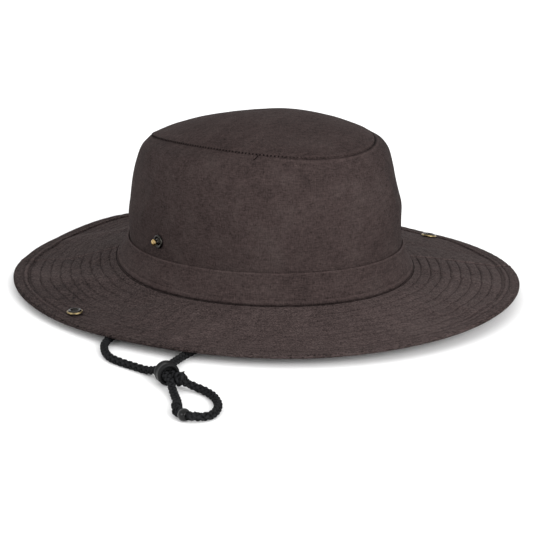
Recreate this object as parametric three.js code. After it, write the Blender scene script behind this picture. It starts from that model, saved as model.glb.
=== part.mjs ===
// Oilskin bush hat with a chin cord, lying on its brim.
// Millimetres, +Z up, z = 0 is the surface it lies on. The front of the hat faces -Y
// and the wearer's left is +X. Angles are in degrees, counterclockwise from +X.
import * as THREE from 'three';

// Driving dimensions
const brimHalfLength = 170;      // front to back
const brimHalfWidth = 152;       // side to side
const brimThickness = 2.4;       // two layers of cloth and a stiffener
const hemWidth = 0.135;          // turned hem, as a share of the brim's width
const hemRaise = 0.5;            // the hem's extra fold of cloth
const brimSag = 3;               // how far the right side of the brim hangs below a straight slope
const clothThickness = 1.6;      // crown side and tip
const bandThickness = 1.4;
const seamGap = 0.35;            // clearance between pieces that are sewn together
const domeRise = 15.5;           // centre of the tip above its seam
const domeFullness = 0.86;
const cordDiameter = 4;
const toggleDiameter = 13.4;
const toggleLength = 8;
const toggleBore = 9.2;
const beadDiameter = 8;
const beadLength = 4.2;
const beadBore = 6.2;
const studHeight = 41;           // press studs above the ears
const studFlange = 10;
const studGap = 0.6;             // clearance of the flat flanges over the curved cloth
const socketReach = 137.4;       // sockets from the middle plane, just inside the hem
const socketFlange = 9.4;
const tabHeight = 11;
const tabWidth = 13;
const tabThickness = 5;
const tabGap = 1.1;              // clearance of the flat tabs inside the curved wall
const tabFoot = 24;              // height of the tabs' lower ends, where the cord leaves them

const divisions = 64;            // facets round the hat

// Rings of the crown's outer surface from the brim seam up. rake lifts the front and lean lifts
// the wearer's left, in mm per 100 mm. saddle lifts the sides and drops front and back.
const ringShape = (height, halfLength, halfWidth, back, rake, lean, saddle, squareness) => (
  { height, halfLength, halfWidth, back, rake, lean, saddle, squareness });
const crownRows = [
  ringShape(17.0, 104.6, 87.6, 0, -0.4, 1.2, -1.1, 1.88),      // brim seam
  ringShape(31.0, 97.8, 78.6, 0, 4.2, 0, -0.3, 1.92),          // top of the band
  ringShape(59.0, 95.4, 77.3, 0.4, 6.4, -1.0, 1.2, 2),         // middle
  ringShape(87.2, 86.6, 72.0, 1.5, 8.8, -1.6, 2.4, 2),         // shoulder
  ringShape(96.0, 84.4, 59.2, 3.1, 8.8, -1.6, 2.9, 2),         // tip seam
];

// How far the underside of the brim's edge is off the surface. Where it is zero the hem lies flat.
const brimLift = [
  { angle: -180, lift: 3.8 },
  { angle: -164, lift: 4.8 },
  { angle: -143, lift: 5.2 },
  { angle: -118, lift: 5.3 },
  { angle: -90, lift: 7.2 },
  { angle: -60, lift: 8.2 },
  { angle: -30, lift: 5.0 },
  { angle: 0, lift: 1.0 },
  { angle: 18, lift: -0.6 },
  { angle: 45, lift: 1.0 },
  { angle: 88, lift: 3.6 },
  { angle: 115, lift: -0.6 },
  { angle: 145, lift: 3.2 },
];

// Soft dents in the side of the crown, and one low bulge, where the depth is negative.
const crownDents = [
  { name: 'front hollow', angle: -108, height: 64, depth: 2.4, spread: 24, tall: 15 },
  { name: 'front corner hollow', angle: -152, height: 60, depth: 1.8, spread: 14, tall: 17 },
  { name: 'temple fold', angle: -44, height: 56, depth: -1.3, spread: 9, tall: 9 },
  { name: 'left hollow', angle: 12, height: 62, depth: 2.2, spread: 20, tall: 14 },
  { name: 'back hollow', angle: 98, height: 56, depth: 2.6, spread: 22, tall: 14 },
  { name: 'right hollow', angle: 160, height: 66, depth: 1.6, spread: 16, tall: 12 },
];

// The chin cord's middle line, from the tab above the right ear, out under the brim, through the
// toggle and round the loop with its bead, back through the toggle and under the hat to the left ear.
const cordRoute = [
  [-76.2, 3.1, 22.1], [-77.8, 3, 17], [-81.7, 0.6, 9.2], [-90, -5.3, 4],
  [-103, -13.3, 2.4], [-139.6, -34.9, 2.1], [-148.2, -41.2, 2.1], [-155.8, -50.4, 2.1],
  [-162.3, -66.4, 2.1], [-160.2, -88, 2.1], [-158.6, -97.4, 2.4],
  [-158.4, -104.5, 4.3], [-159.7, -112.3, 6.7], [-161.2, -118.1, 6.7], [-162.8, -123.9, 6.7],
  [-164.6, -129.9, 5.3], [-167.2, -135.4, 3], [-171.8, -143.6, 2.2], [-177.5, -152.9, 2.4],
  [-186.3, -163.1, 3.7], [-186.7, -173.4, 4], [-181.9, -179.1, 3.1], [-174.1, -180.2, 2.3],
  [-163, -172.2, 2.1], [-155.1, -158.4, 2.1], [-152.9, -146.2, 2.2],
  [-154.9, -137.8, 3.4], [-158, -131.4, 5.6], [-158.7, -125.1, 6.7], [-157.1, -119.3, 6.7],
  [-155.5, -113.5, 6.7], [-143.4, -100.8, 3.9], [-127, -89.9, 2.2], [-113, -83.9, 2.2],
  [58, -7.8, 2.3], [70.2, -2.3, 2.3], [75.3, -0.1, 3.7], [78.6, 1.3, 7.2], [79.6, 1.8, 12.4],
  [76.8, 0.6, 22],
];
const beadPoint = 20;            // the route's point inside the bead
const toggleFront = new THREE.Vector3(-160.2, -122.5, 6.7);
const toggleHeading = -105;      // the way that the strands leave its front

// Materials, in the colours of a dark brown waxed cloth with antique brass studs
const material = (name, color, roughness, metalness = 0) => {
  const made = new THREE.MeshStandardMaterial({ color, roughness, metalness });
  made.name = name;
  return made;
};
const oilskin = material('oilskin', 0x483d3b, 0.72);
const oilskinTip = material('oilskin_tip', 0x443a38, 0.72);
const oilskinBand = material('oilskin_band', 0x463c3a, 0.72);
const oilskinBrim = material('oilskin_brim', 0x4a3f3d, 0.74);
const brass = material('antique_brass', 0x8a7448, 0.38, 1);
const braid = material('cord_braid', 0x1d1e1f, 0.8);
const plastic = material('black_plastic', 0x161718, 0.35);

// Maths of the rings
const toRadians = (degrees) => degrees * Math.PI / 180;
const signedPower = (value, power) => Math.sign(value) * Math.abs(value) ** power;

// Smooth value through evenly spaced numbers, at position s counted in numbers
function smoothColumn(values, s) {
  const last = values.length - 1;
  const i = Math.min(Math.floor(s), last - 1);
  const f = s - i;
  const at = (k) => values[Math.min(Math.max(k, 0), last)];
  const slope = (k) => (k <= 0 || k >= last ? (at(k + 1) - at(k - 1)) : (at(k + 1) - at(k - 1)) / 2);
  const f2 = f * f;
  const f3 = f2 * f;
  return (2 * f3 - 3 * f2 + 1) * at(i) + (f3 - 2 * f2 + f) * slope(i)
    + (3 * f2 - 2 * f3) * at(i + 1) + (f3 - f2) * slope(i + 1);
}

// Smooth value round a full turn, through a table of angles and lifts
function liftAt(degrees) {
  const count = brimLift.length;
  const angle = ((degrees + 180) % 360 + 360) % 360 - 180;
  let i = count - 1;
  while (brimLift[i].angle > angle) i -= 1;
  const turned = (k) => {
    const row = brimLift[(k + count) % count];
    return { angle: row.angle + 360 * Math.floor(k / count), lift: row.lift };
  };
  const [p0, p1, p2, p3] = [turned(i - 1), turned(i), turned(i + 1), turned(i + 2)];
  const span = p2.angle - p1.angle;
  const m1 = (p2.lift - p0.lift) / (p2.angle - p0.angle) * span;
  const m2 = (p3.lift - p1.lift) / (p3.angle - p1.angle) * span;
  const f = (angle - p1.angle) / span;
  const f2 = f * f;
  const f3 = f2 * f;
  const lift = (2 * f3 - 3 * f2 + 1) * p1.lift + (f3 - 2 * f2 + f) * m1
    + (3 * f2 - 2 * f3) * p2.lift + (f3 - f2) * m2;
  return Math.max(0, lift);
}

// A point of the crown's side at row s, 0 at the brim seam and 4 at the tip seam, and turn t
function crownPoint(s, t) {
  const column = (key) => smoothColumn(crownRows.map((row) => row[key]), s);
  const power = 2 / column('squareness');
  const x = column('halfWidth') * signedPower(Math.cos(t), power);
  const y = column('back') + column('halfLength') * signedPower(Math.sin(t), power);
  const z = column('height') + column('lean') * x / 100 - column('rake') * y / 100
    + column('saddle') * Math.cos(2 * t);
  let push = 0;
  for (const dent of crownDents) {
    const turn = THREE.MathUtils.radToDeg(Math.atan2(y, x)) - dent.angle;
    const across = (((turn + 180) % 360 + 360) % 360 - 180) / dent.spread;
    const up = (z - dent.height) / dent.tall;
    push += dent.depth * Math.exp(-(across ** 2) - up ** 2);
  }
  const inward = new THREE.Vector3(-x, -y, 0).normalize().multiplyScalar(push);
  return new THREE.Vector3(x, y, z).add(inward);
}

const tipCentre = new THREE.Vector3(0, crownRows[4].back, crownRows[4].height);

// A point of the tip at share r of the way from its centre to the seam
function tipPoint(r, t) {
  const point = crownPoint(4, t).sub(tipCentre).multiplyScalar(r).add(tipCentre);
  point.z += domeRise * (1 - r * r) ** domeFullness;
  return point;
}

// A point of the brim's upper surface at share s of the way from the crown to the edge
function brimPoint(s, t) {
  const inner = crownPoint(0, t);
  const outward = new THREE.Vector3(inner.x, inner.y, 0).normalize();
  inner.addScaledVector(outward, seamGap);
  const x = brimHalfWidth * Math.cos(t);
  const y = brimHalfLength * Math.sin(t);
  const lift = liftAt(THREE.MathUtils.radToDeg(Math.atan2(y, x)));
  const point = inner.lerp(new THREE.Vector3(x, y, lift + brimThickness), s);
  point.z -= brimSag * Math.sin(Math.PI * s) * (1 - Math.cos(t)) / 2;
  return point;
}

// Outward normal of a surface given as a function of s and t
function normalAt(surface, s, t, limit) {
  const step = 0.01;
  const s0 = Math.max(0, s - step);
  const s1 = Math.min(limit, s + step);
  const along = surface(s1, t).sub(surface(s0, t));
  const round = surface(s, t + step).sub(surface(s, t - step));
  return round.cross(along).normalize();
}
const crownNormal = (s, t) => normalAt(crownPoint, s, t, 4);
const tipNormal = (r, t) => normalAt(tipPoint, r, t, 1).negate();
const brimNormal = (s, t) => normalAt(brimPoint, s, t, 1).negate();

// Building closed surfaces
const turns = Array.from({ length: divisions }, (_, i) => i * 2 * Math.PI / divisions);
const ring = (pointAt) => turns.map(pointAt);

function orientedGeometry(positions, triangles) {
  let volume = 0;
  const corner = (i) => new THREE.Vector3().fromArray(positions, 3 * i);
  for (let i = 0; i < triangles.length; i += 3) {
    const [a, b, c] = [corner(triangles[i]), corner(triangles[i + 1]), corner(triangles[i + 2])];
    volume += a.dot(b.cross(c));
  }
  if (volume < 0) triangles.reverse();
  const geometry = new THREE.BufferGeometry();
  geometry.setAttribute('position', new THREE.Float32BufferAttribute(positions, 3));
  geometry.setIndex(triangles);
  geometry.computeVertexNormals();
  return geometry;
}

// Rings joined each to the next and the last to the first: a wall that goes round the head
function ringWall(rings) {
  const positions = rings.flat().flatMap((point) => point.toArray());
  const triangles = [];
  for (let i = 0; i < rings.length; i += 1) {
    const next = (i + 1) % rings.length;
    for (let j = 0; j < divisions; j += 1) {
      const k = (j + 1) % divisions;
      const [a, b] = [i * divisions + j, i * divisions + k];
      const [c, d] = [next * divisions + k, next * divisions + j];
      triangles.push(a, b, c, a, c, d);
    }
  }
  return orientedGeometry(positions, triangles);
}

// Rings from one pole to the other: a closed dish
function ringDish(topPole, rings, bottomPole) {
  const positions = [...rings.flat(), topPole, bottomPole].flatMap((point) => point.toArray());
  const top = rings.length * divisions;
  const last = (rings.length - 1) * divisions;
  const triangles = [];
  for (let j = 0; j < divisions; j += 1) {
    const k = (j + 1) % divisions;
    triangles.push(top, k, j);
    triangles.push(top + 1, last + j, last + k);
    for (let i = 0; i < rings.length - 1; i += 1) {
      const [a, b] = [i * divisions + j, i * divisions + k];
      triangles.push(a, b, b + divisions, a, b + divisions, a + divisions);
    }
  }
  return orientedGeometry(positions, triangles);
}

const hat = new THREE.Group();

function addPiece(name, geometry, finish) {
  const mesh = new THREE.Mesh(geometry, finish);
  mesh.name = name;
  hat.add(mesh);
  return mesh;
}

// A turned piece whose axis leaves a surface at a point, along its normal
function addTurned(name, profile, sides, finish, point, normal) {
  const corners = profile.map(([radius, along]) => new THREE.Vector2(radius, along));
  const mesh = addPiece(name, new THREE.LatheGeometry(corners, sides), finish);
  mesh.position.copy(point);
  mesh.quaternion.setFromUnitVectors(new THREE.Vector3(0, 1, 0), normal);
  return mesh;
}

// Crown side: from the brim's underside up to the tip seam
const seamNormal = (t) => crownNormal(4, t).add(tipNormal(1, t)).normalize();
const sideEnd = (t) => {
  const seam = crownPoint(4, t);
  return seam.addScaledVector(crownPoint(3.95, t).sub(seam).normalize(), seamGap / 2);
};
const sideFoot = (t) => crownPoint(0, t).add(new THREE.Vector3(0, 0, -brimThickness));
const sideRows = [0, 0.045, 0.35, 0.68, 1, 1.5, 2, 2.5, 3, 3.5];
const inwardFromFoot = (point, t) => {
  const normal = crownNormal(0, t);
  return point.addScaledVector(new THREE.Vector3(normal.x, normal.y, 0).normalize(), -clothThickness);
};
const liningPoint = (s, t) => crownPoint(s, t).addScaledVector(crownNormal(s, t), -clothThickness);
addPiece('crown_side', ringWall([
  ring(sideFoot),
  ...sideRows.map((s) => ring((t) => crownPoint(s, t))),
  ring(sideEnd),
  ring((t) => sideEnd(t).addScaledVector(seamNormal(t), -clothThickness)),
  ...sideRows.slice(1).reverse().map((s) => ring((t) => liningPoint(s, t))),
  ring((t) => inwardFromFoot(crownPoint(0, t), t)),
  ring((t) => inwardFromFoot(sideFoot(t), t)),
]), oilskin);

// Crown tip: the domed panel inside the seam
const tipEnd = (t) => {
  const seam = crownPoint(4, t);
  return seam.addScaledVector(tipPoint(0.97, t).sub(seam).normalize(), seamGap / 2);
};
const tipRings = [0.26, 0.52, 0.76, 0.92];
const tipLining = (r, t) => tipPoint(r, t).addScaledVector(tipNormal(r, t), -clothThickness);
const domeTop = tipPoint(0, 0);
addPiece('crown_tip', ringDish(
  domeTop,
  [
    ...tipRings.map((r) => ring((t) => tipPoint(r, t))),
    ring(tipEnd),
    ring((t) => tipEnd(t).addScaledVector(seamNormal(t), -clothThickness)),
    ...tipRings.slice().reverse().map((r) => ring((t) => tipLining(r, t))),
  ],
  domeTop.clone().add(new THREE.Vector3(0, 0, -clothThickness)),
), oilskinTip);

// Crown band: follows the foot of the crown, just clear of it
const bandRows = [0.045, 0.35, 0.68, 1];
const bandRing = (s, out) => ring((t) => crownPoint(s, t).addScaledVector(crownNormal(s, t), out));
addPiece('crown_band', ringWall([
  ...bandRows.map((s) => bandRing(s, seamGap + bandThickness)),
  ...bandRows.slice().reverse().map((s) => bandRing(s, seamGap)),
]), oilskinBand);

// Brim: flat plate with a thicker hem, whose underside is level where the brim touches the surface
const hemStart = 1 - hemWidth;
const brimTop = [
  { reach: 0, over: 0 },
  { reach: 0.3, over: 0 },
  { reach: 0.6, over: 0 },
  { reach: hemStart - 0.012, over: 0 },
  { reach: hemStart, over: hemRaise },
  { reach: 0.982, over: hemRaise },
  { reach: 1, over: -0.9 },
];
const raised = (point, over) => point.add(new THREE.Vector3(0, 0, over));
const edgeTurn = (t) => Math.atan2(brimHalfLength * Math.sin(t), brimHalfWidth * Math.cos(t));
const edgeLift = (t) => liftAt(THREE.MathUtils.radToDeg(edgeTurn(t)));
function hemUnderside(s, t) {
  const point = brimPoint(s, t);
  const lift = edgeLift(t);
  const slope = point.z - brimThickness - lift;
  const level = Math.min(1, lift / 1.5);
  point.z = lift + slope * level;
  return point;
}
addPiece('brim', ringWall([
  ...brimTop.map(({ reach, over }) => ring((t) => raised(brimPoint(reach, t), over))),
  ring((t) => hemUnderside(0.985, t)),
  ring((t) => hemUnderside(hemStart, t)),
  ...[0.72, 0.4, 0].map((reach) => ring((t) => raised(brimPoint(reach, t), -brimThickness))),
]), oilskinBrim);

// Press studs above the ears, and the plates behind them
const rowAtHeight = (t, height) => {
  let [low, high] = [0, 4];
  while (high - low > 1e-4) {
    const middle = (low + high) / 2;
    if (crownPoint(middle, t).z < height) low = middle;
    else high = middle;
  }
  return low;
};
const studProfile = [
  [0, 0], [studFlange / 2, 0], [studFlange / 2, 0.7], [studFlange / 2 - 0.8, 1.2], [2.4, 1.3],
  [1.5, 1.7], [1.5, 3.0], [2.1, 3.7], [2.1, 4.5], [1.3, 5.2], [0, 5.4],
];
const plateProfile = [[0, 0], [4.6, 0], [4.6, 0.8], [3.9, 1.3], [0, 1.4]];
const socketProfile = [
  [0, 0], [socketFlange / 2, 0], [socketFlange / 2, 0.6], [4.1, 1.3], [3.3, 1.5], [2.7, 1.2],
  [2.5, 0.7], [0, 0.7],
];
const socketRow = (t) => {
  const inner = Math.abs(brimPoint(0, t).x);
  const outer = Math.abs(brimPoint(1, t).x);
  return (socketReach - inner) / (outer - inner);
};
const ears = [{ side: 'right', turn: Math.PI - 0.04 }, { side: 'left', turn: 0.01 }];
for (const { side, turn } of ears) {
  const row = rowAtHeight(turn, studHeight);
  const normal = crownNormal(row, turn);
  const wall = crownPoint(row, turn);
  const outside = wall.clone().addScaledVector(normal, studGap);
  const inside = wall.clone().addScaledVector(normal, -clothThickness - studGap);
  addTurned(`snap_stud_${side}`, studProfile, 14, brass, outside, normal);
  addTurned(`snap_post_${side}`, plateProfile, 12, brass, inside, normal.clone().negate());

  const reach = socketRow(turn);
  const up = brimNormal(reach, turn);
  const cloth = brimPoint(reach, turn);
  const above = cloth.clone().addScaledVector(up, studGap);
  const below = cloth.clone().addScaledVector(up, -brimThickness - studGap);
  addTurned(`snap_socket_${side}`, socketProfile, 16, brass, above, up);
  addTurned(`snap_cap_${side}`, plateProfile, 12, brass, below, up.clone().negate());
}

// Tabs inside the crown that hold the chin cord's ends
function tabGeometry() {
  const outline = new THREE.Shape();
  const [half, corner] = [tabWidth / 2, 2];
  outline.moveTo(-half, 0);
  outline.lineTo(half, 0);
  outline.lineTo(half, tabHeight - corner);
  outline.quadraticCurveTo(half, tabHeight, half - corner, tabHeight);
  outline.lineTo(-half + corner, tabHeight);
  outline.quadraticCurveTo(-half, tabHeight, -half, tabHeight - corner);
  const settings = { depth: tabThickness, bevelEnabled: false, curveSegments: 3 };
  return new THREE.ExtrudeGeometry(outline, settings).translate(0, 0, -tabThickness / 2);
}
for (const { side, turn } of ears) {
  const row = rowAtHeight(turn, tabFoot + tabHeight / 2);
  const normal = crownNormal(row, turn);
  const foot = crownPoint(rowAtHeight(turn, tabFoot), turn);
  const top = crownPoint(rowAtHeight(turn, tabFoot + tabHeight), turn);
  const up = top.sub(foot).normalize();
  const across = up.clone().cross(normal).normalize();
  const mesh = addPiece(`cord_tab_${side}`, tabGeometry(), oilskin);
  const inset = clothThickness + tabGap + tabThickness / 2;
  const turned = new THREE.Matrix4().makeBasis(across, up, across.clone().cross(up));
  mesh.position.copy(foot).addScaledVector(normal, -inset);
  mesh.quaternion.setFromRotationMatrix(turned);
}

// Chin cord: one tube along the route
const routePoints = cordRoute.map((point) => new THREE.Vector3(...point));
const route = new THREE.CatmullRomCurve3(routePoints, false, 'centripetal');
const cordSection = new THREE.Shape();
const cordSides = 8;
const cordSteps = 80;
for (let i = 0; i < cordSides; i += 1) {
  const angle = toRadians(360 * (i + 0.5) / cordSides);
  const [x, y] = [Math.cos(angle) * cordDiameter / 2, Math.sin(angle) * cordDiameter / 2];
  if (i === 0) cordSection.moveTo(x, y);
  else cordSection.lineTo(x, y);
}
const cordTube = { steps: cordSteps, extrudePath: route, bevelEnabled: false };
addPiece('chin_cord', new THREE.ExtrudeGeometry(cordSection, cordTube), braid);

// Toggle: a barrel with both strands side by side in its bore, and a bead that the loop runs through
const heading = new THREE.Vector3(1, 0, 0);
heading.applyAxisAngle(new THREE.Vector3(0, 0, 1), toRadians(toggleHeading));
const [toggleRadius, boreRadius, round] = [toggleDiameter / 2, toggleBore / 2, 0.9];
const toggleProfile = [
  [boreRadius, round], [boreRadius + 0.3, 0.3], [boreRadius + round, 0], [toggleRadius - round, 0],
  [toggleRadius, round], [toggleRadius, toggleLength - round], [toggleRadius - round, toggleLength],
  [boreRadius + round, toggleLength], [boreRadius + 0.3, toggleLength - 0.3],
  [boreRadius, toggleLength - round], [boreRadius, round],
];
addTurned('cord_toggle', toggleProfile, 18, plastic, toggleFront, heading.clone().negate());

const [beadRadius, beadInner] = [beadDiameter / 2, beadBore / 2];
const beadProfile = [
  [beadInner, 0.3], [beadInner + 0.2, 0], [beadRadius - 0.5, 0.5], [beadRadius, beadLength / 2],
  [beadRadius - 0.5, beadLength - 0.5], [beadInner + 0.2, beadLength],
  [beadInner, beadLength - 0.3], [beadInner, 0.3],
];
const [before, centre, after] = routePoints.slice(beadPoint - 1, beadPoint + 2);
const beadAxis = after.clone().sub(before).setZ(0).normalize();
const beadEnd = centre.clone().setZ(beadRadius).addScaledVector(beadAxis, -beadLength / 2);
addTurned('cord_bead', beadProfile, 14, plastic, beadEnd, beadAxis);

export default hat;
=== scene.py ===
import math

import bpy
import numpy as np
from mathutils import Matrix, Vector, noise


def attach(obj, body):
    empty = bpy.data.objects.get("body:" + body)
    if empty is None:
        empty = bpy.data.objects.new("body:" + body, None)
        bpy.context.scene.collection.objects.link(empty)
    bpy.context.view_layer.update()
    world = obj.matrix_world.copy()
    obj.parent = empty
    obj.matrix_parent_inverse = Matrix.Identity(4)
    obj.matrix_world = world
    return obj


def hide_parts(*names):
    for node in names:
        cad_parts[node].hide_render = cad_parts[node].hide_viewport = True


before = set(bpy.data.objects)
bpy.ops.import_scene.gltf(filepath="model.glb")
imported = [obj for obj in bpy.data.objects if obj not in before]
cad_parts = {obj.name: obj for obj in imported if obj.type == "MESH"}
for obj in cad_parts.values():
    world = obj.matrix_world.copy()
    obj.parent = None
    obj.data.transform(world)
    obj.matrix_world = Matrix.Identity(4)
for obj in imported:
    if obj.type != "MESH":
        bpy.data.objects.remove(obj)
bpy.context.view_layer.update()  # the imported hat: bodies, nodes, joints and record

metre = 0.001  # sizes below are millimetres, in the hat's own frame: front -Y, left +X
flat = np.array([1, 1, 0])  # takes the height out of a place
upward = np.array([0, 0, 1.0])

# Camera, floor and lights
view = {
    "eye": (-962.1, -1261.1, 492.1),
    "towards": (0.5813, 0.76028, -0.28994),
    "focalPixels": 2620.3,  # for a picture 533 pixels wide
    "pictureWidth": 533,
    "sensor": 36.0,
}
studio = {
    "floorSize": 12000,
    "floorColour": (0.96, 0.96, 0.96),
    "worldColour": (1.0, 1.0, 1.0),
    "worldStrength": 1.12,
    # place in metres, power and size
    "key": ((-0.15, -2.7, 1.05), 66, 1.7),
    "fill": ((-2.6, -0.5, 1.0), 19, 1.5),
}


def show(thing):
    bpy.context.scene.collection.objects.link(thing)


def aim(thing, towards):
    thing.rotation_mode = "QUATERNION"
    thing.rotation_quaternion = Vector(towards).to_track_quat("-Z", "Y")


def makeCamera():
    camera = bpy.data.objects.new("view", bpy.data.cameras.new("view"))
    camera.data.sensor_width = view["sensor"]
    camera.data.lens = view["focalPixels"] / view["pictureWidth"] * view["sensor"]
    camera.location = Vector(view["eye"]) * metre
    aim(camera, view["towards"])
    show(camera)
    bpy.context.scene.camera = camera


def makeLight(name, place, power, size):
    lamp = bpy.data.lights.new(name, "AREA")
    lamp.shape = "DISK"
    lamp.energy = power
    lamp.size = size
    light = bpy.data.objects.new(name, lamp)
    light.location = place
    aim(light, -Vector(place))
    show(light)


makeCamera()
print("camera made")


# Materials
class Signal:
    # one output of a node, so that shader maths reads as plain expressions
    def __init__(self, finish, node, output=0):
        self.finish = finish
        self.node = node
        self.socket = node.outputs[output]

    def other(self, output):
        return Signal(self.finish, self.node, output)

    def maths(self, operation, *values):
        return self.finish.add("ShaderNodeMath", {"operation": operation}, dict(enumerate(values)))

    def __add__(self, value):
        return self.maths("ADD", self, value)

    def __sub__(self, value):
        return self.maths("SUBTRACT", self, value)

    def __rsub__(self, value):
        return self.maths("SUBTRACT", value, self)

    def __mul__(self, value):
        return self.maths("MULTIPLY", self, value)

    __radd__ = __add__
    __rmul__ = __mul__


class Finish:
    # a material, and the one way in which nodes are added to it
    def __init__(self, name, settings):
        self.material = bpy.data.materials.new(name)
        self.material.use_nodes = True
        self.nodes = self.material.node_tree.nodes
        self.links = self.material.node_tree.links
        self.shader = self.nodes["Principled BSDF"]
        for socket, value in settings.items():
            self.shader.inputs[socket].default_value = value

    def add(self, kind, settings=None, inputs=None, output=0):
        node = self.nodes.new(kind)
        for name, value in (settings or {}).items():
            setattr(node, name, value)
        for socket, value in (inputs or {}).items():
            self.feed(node.inputs[socket], value)
        return Signal(self, node, output)

    def feed(self, socket, value):
        if isinstance(value, Signal):
            self.links.new(value.socket, socket)
        else:
            socket.default_value = value

    def shade(self, socket, value):
        self.feed(self.shader.inputs[socket], value)

    def place(self):
        return self.add("ShaderNodeTexCoord").other("Object")

    # painted light and shade, read from the points' attribute
    def paintedShading(self):
        return self.add("ShaderNodeAttribute", {"attribute_name": "paintedShading"}).other("Fac")

    def marks(self, place, perMetre, detail=2, roughness=0.5):
        # soft noise round 0, about half a unit each way
        inputs = {"Vector": place, "Scale": perMetre, "Detail": detail, "Roughness": roughness}
        return self.add("ShaderNodeTexNoise", None, inputs) - 0.5

    def ramp(self, value, low, high, most):
        # 0 below low, most above high
        return self.add("ShaderNodeMapRange", None, {0: value, 1: low, 2: high, 3: 0.0, 4: most})

    def blend(self, share, first, second):
        return self.add("ShaderNodeMix", {"data_type": "RGBA"}, {0: share, 6: first, 7: second}, 2)

    def scaled(self, colour, share):
        return self.add("ShaderNodeVectorMath", {"operation": "SCALE"}, {0: colour, "Scale": share})

    def bump(self, height, strength, depth):
        inputs = {"Strength": strength, "Distance": depth * metre, "Height": height}
        self.shade("Normal", self.add("ShaderNodeBump", None, inputs))


oilskin = {
    "roughness": 0.78,
    "shine": 0.03,
    "coolColour": (0.033, 0.0265, 0.025, 1),  # where the wax has gone greyer
    "coolMost": 0.4,
    "threadWidth": 0.55,
    "threadRun": 0.16,  # width of a thread's mark over its length
    "weavePitch": 0.8,  # two threads
    "grainTurn": -22,  # degrees from +X, for the cloth that lies flat
    "rise": (0.5, 0.8),  # how far height moves that cloth's warp and weft
    "headRadius": 88,  # for the cloth that goes round the crown
    "patches": (46, 3, 0.55),  # size, detail and roughness of the wax's marks
    "smudges": (11, 3, 0.6),
    "blotches": (3.6, 2, 0.6),
    "grain": (0.9, 2, 0.7),
    "patchShade": 0.7,  # how much each shows in the colour
    "smudgeShade": 0.55,
    "blotchShade": 0.4,
    "weaveShade": 0.95,
    "paintedShadingShare": 0.42,
    "reliefDepth": 0.25,
}


def makeCloth(name, colour, wrapped, contrast, grainShade=1.2, warpShade=1, weftShade=1):
    finish = Finish(name, {"Specular IOR Level": oilskin["shine"]})
    place = finish.place()
    axes = finish.add("ShaderNodeSeparateXYZ", None, {0: place})
    x, y, z = (axes.other(axis) for axis in "XYZ")
    if wrapped:
        across, along = x.maths("ARCTAN2", y, x) * (oilskin["headRadius"] * metre), z
    else:
        turn = math.radians(oilskin["grainTurn"])
        across = x * math.cos(turn) + y * math.sin(turn) + z * oilskin["rise"][0]
        along = y * math.cos(turn) - x * math.sin(turn) + z * oilskin["rise"][1]
    run, threads = oilskin["threadRun"], 1000 / oilskin["threadWidth"]
    warp = finish.add("ShaderNodeCombineXYZ", None, {0: across, 1: along * run})
    weft = finish.add("ShaderNodeCombineXYZ", None, {0: across * run, 1: along, 2: 3.1})
    warpMarks, weftMarks = finish.marks(warp, threads, 1), finish.marks(weft, threads, 1)
    weave = warpMarks * warpShade + weftMarks * weftShade
    turns = 2000 * math.pi / oilskin["weavePitch"]
    checks = x.maths("SINE", across * turns) * x.maths("SINE", along * turns)
    sorts = (oilskin[sort] for sort in ("patches", "smudges", "blotches", "grain"))
    patches, smudges, blotches, grain = (finish.marks(place, 1000 / size, *look) for size, *look in sorts)
    paintedShading = finish.paintedShading()
    marks = blotches * oilskin["blotchShade"] + grain * grainShade + weave * oilskin["weaveShade"]
    shade = 1 + patches * oilskin["patchShade"] + smudges * oilskin["smudgeShade"] + marks * contrast
    cool = finish.ramp(patches + smudges, -0.05, 0.35, oilskin["coolMost"])
    tint = finish.blend(cool, colour, oilskin["coolColour"])
    # the colour is scaled by painted light and shade from the points' attribute
    finish.shade("Base Color", finish.scaled(tint, shade + paintedShading * oilskin["paintedShadingShare"]))
    finish.shade("Roughness", oilskin["roughness"] + smudges * 0.2 - paintedShading * 0.04)
    relief = checks * 0.4 + (warpMarks + weftMarks) * 1.1 + grain * 0.7 + blotches * 0.8 + smudges * 1.2
    finish.bump(relief, 0.5, oilskin["reliefDepth"])
    return finish.material


def makeThread(name, colour):
    finish = Finish(name, {"Roughness": 0.85, "Specular IOR Level": 0.04})
    fuzz = finish.marks(finish.place(), 2200, 2, 0.6)
    finish.shade("Base Color", finish.scaled(colour, 1 + fuzz * 0.8))
    finish.bump(fuzz, 0.3, 0.2)
    return finish.material


def makeBrass(name, colour, tarnish, roughness):
    finish = Finish(name, {"Metallic": 1.0})
    place = finish.place()
    spots, fine = finish.marks(place, 420, 4, 0.65), finish.marks(place, 2600, 2, 0.6)
    dull = finish.ramp(spots, -0.08, 0.16, 0.85)
    finish.shade("Base Color", finish.blend(dull, colour, tarnish))
    finish.shade("Roughness", roughness + dull * 0.22 + fine * 0.1)
    finish.bump(fine + spots * 0.5, 0.12, 0.2)
    return finish.material


def makePlastic(name, colour, shine, roughness, mould):
    finish = Finish(name, {"Specular IOR Level": shine})
    place = finish.place()
    haze, fine = finish.marks(place, 260, 3, 0.6), finish.marks(place, 1900)
    finish.shade("Base Color", finish.scaled(colour, 1 + haze * 0.3))
    finish.shade("Roughness", roughness + haze * 0.1)
    finish.bump(fine, mould, 0.2)
    return finish.material


def makeBraidFinish(name, colour):
    finish = Finish(name, {"Roughness": 0.6, "Specular IOR Level": 0.015})
    place = finish.place()
    yarn, fade = finish.marks(place, 1500, 3, 0.7), finish.marks(place, 120)
    # painted light on the strands' tops and painted shade between them
    finish.shade("Base Color", finish.scaled(colour, 1.1 + yarn * 3.6 + fade * 0.6 + finish.paintedShading() * 1.7))
    finish.bump(yarn, 0.6, 0.3)
    return finish.material


# one oilskin in four colours: the brim's is set lighter and the tip's a little darker than the side's,
# painted light and shade for how the lamps fall on each part
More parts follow.
